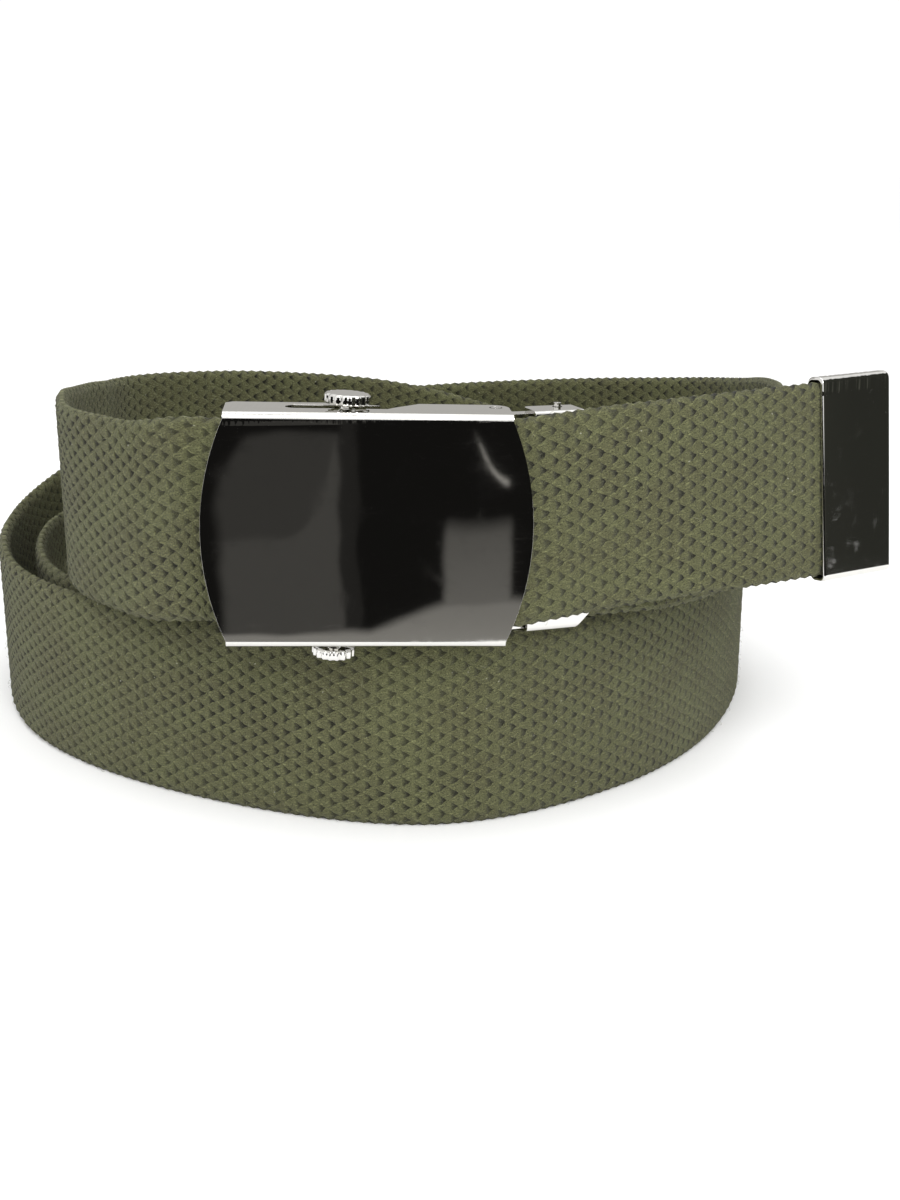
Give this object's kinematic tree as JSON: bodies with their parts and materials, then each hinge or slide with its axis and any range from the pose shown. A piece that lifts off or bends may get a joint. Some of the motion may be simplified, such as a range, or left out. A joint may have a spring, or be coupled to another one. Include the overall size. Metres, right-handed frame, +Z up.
{
  "type": "web belt",
  "caption": "Canvas web belt coiled on its edge, with a roller buckle on a hinged clamp and a metal tip on the free strap.",
  "frame": {"origin": "middle of the belt's footprint, on the surface that the coiled belt stands on", "axes": "+X towards the end of the free strap, +Z up, the buckle faces -Y"},
  "size_m": [0.166, 0.1372, 0.0714],
  "materials": {
    "webbing": "coarse matt weave",
    "plated_metal": "polished"
  },
  "bodies": {
    "root": {"web": "webbing", "buckle_frame": "plated_metal", "roller": "plated_metal", "clamp": "plated_metal", "clamp_jaw": "plated_metal", "web_tip": "plated_metal"}
  },
  "joints": []
}
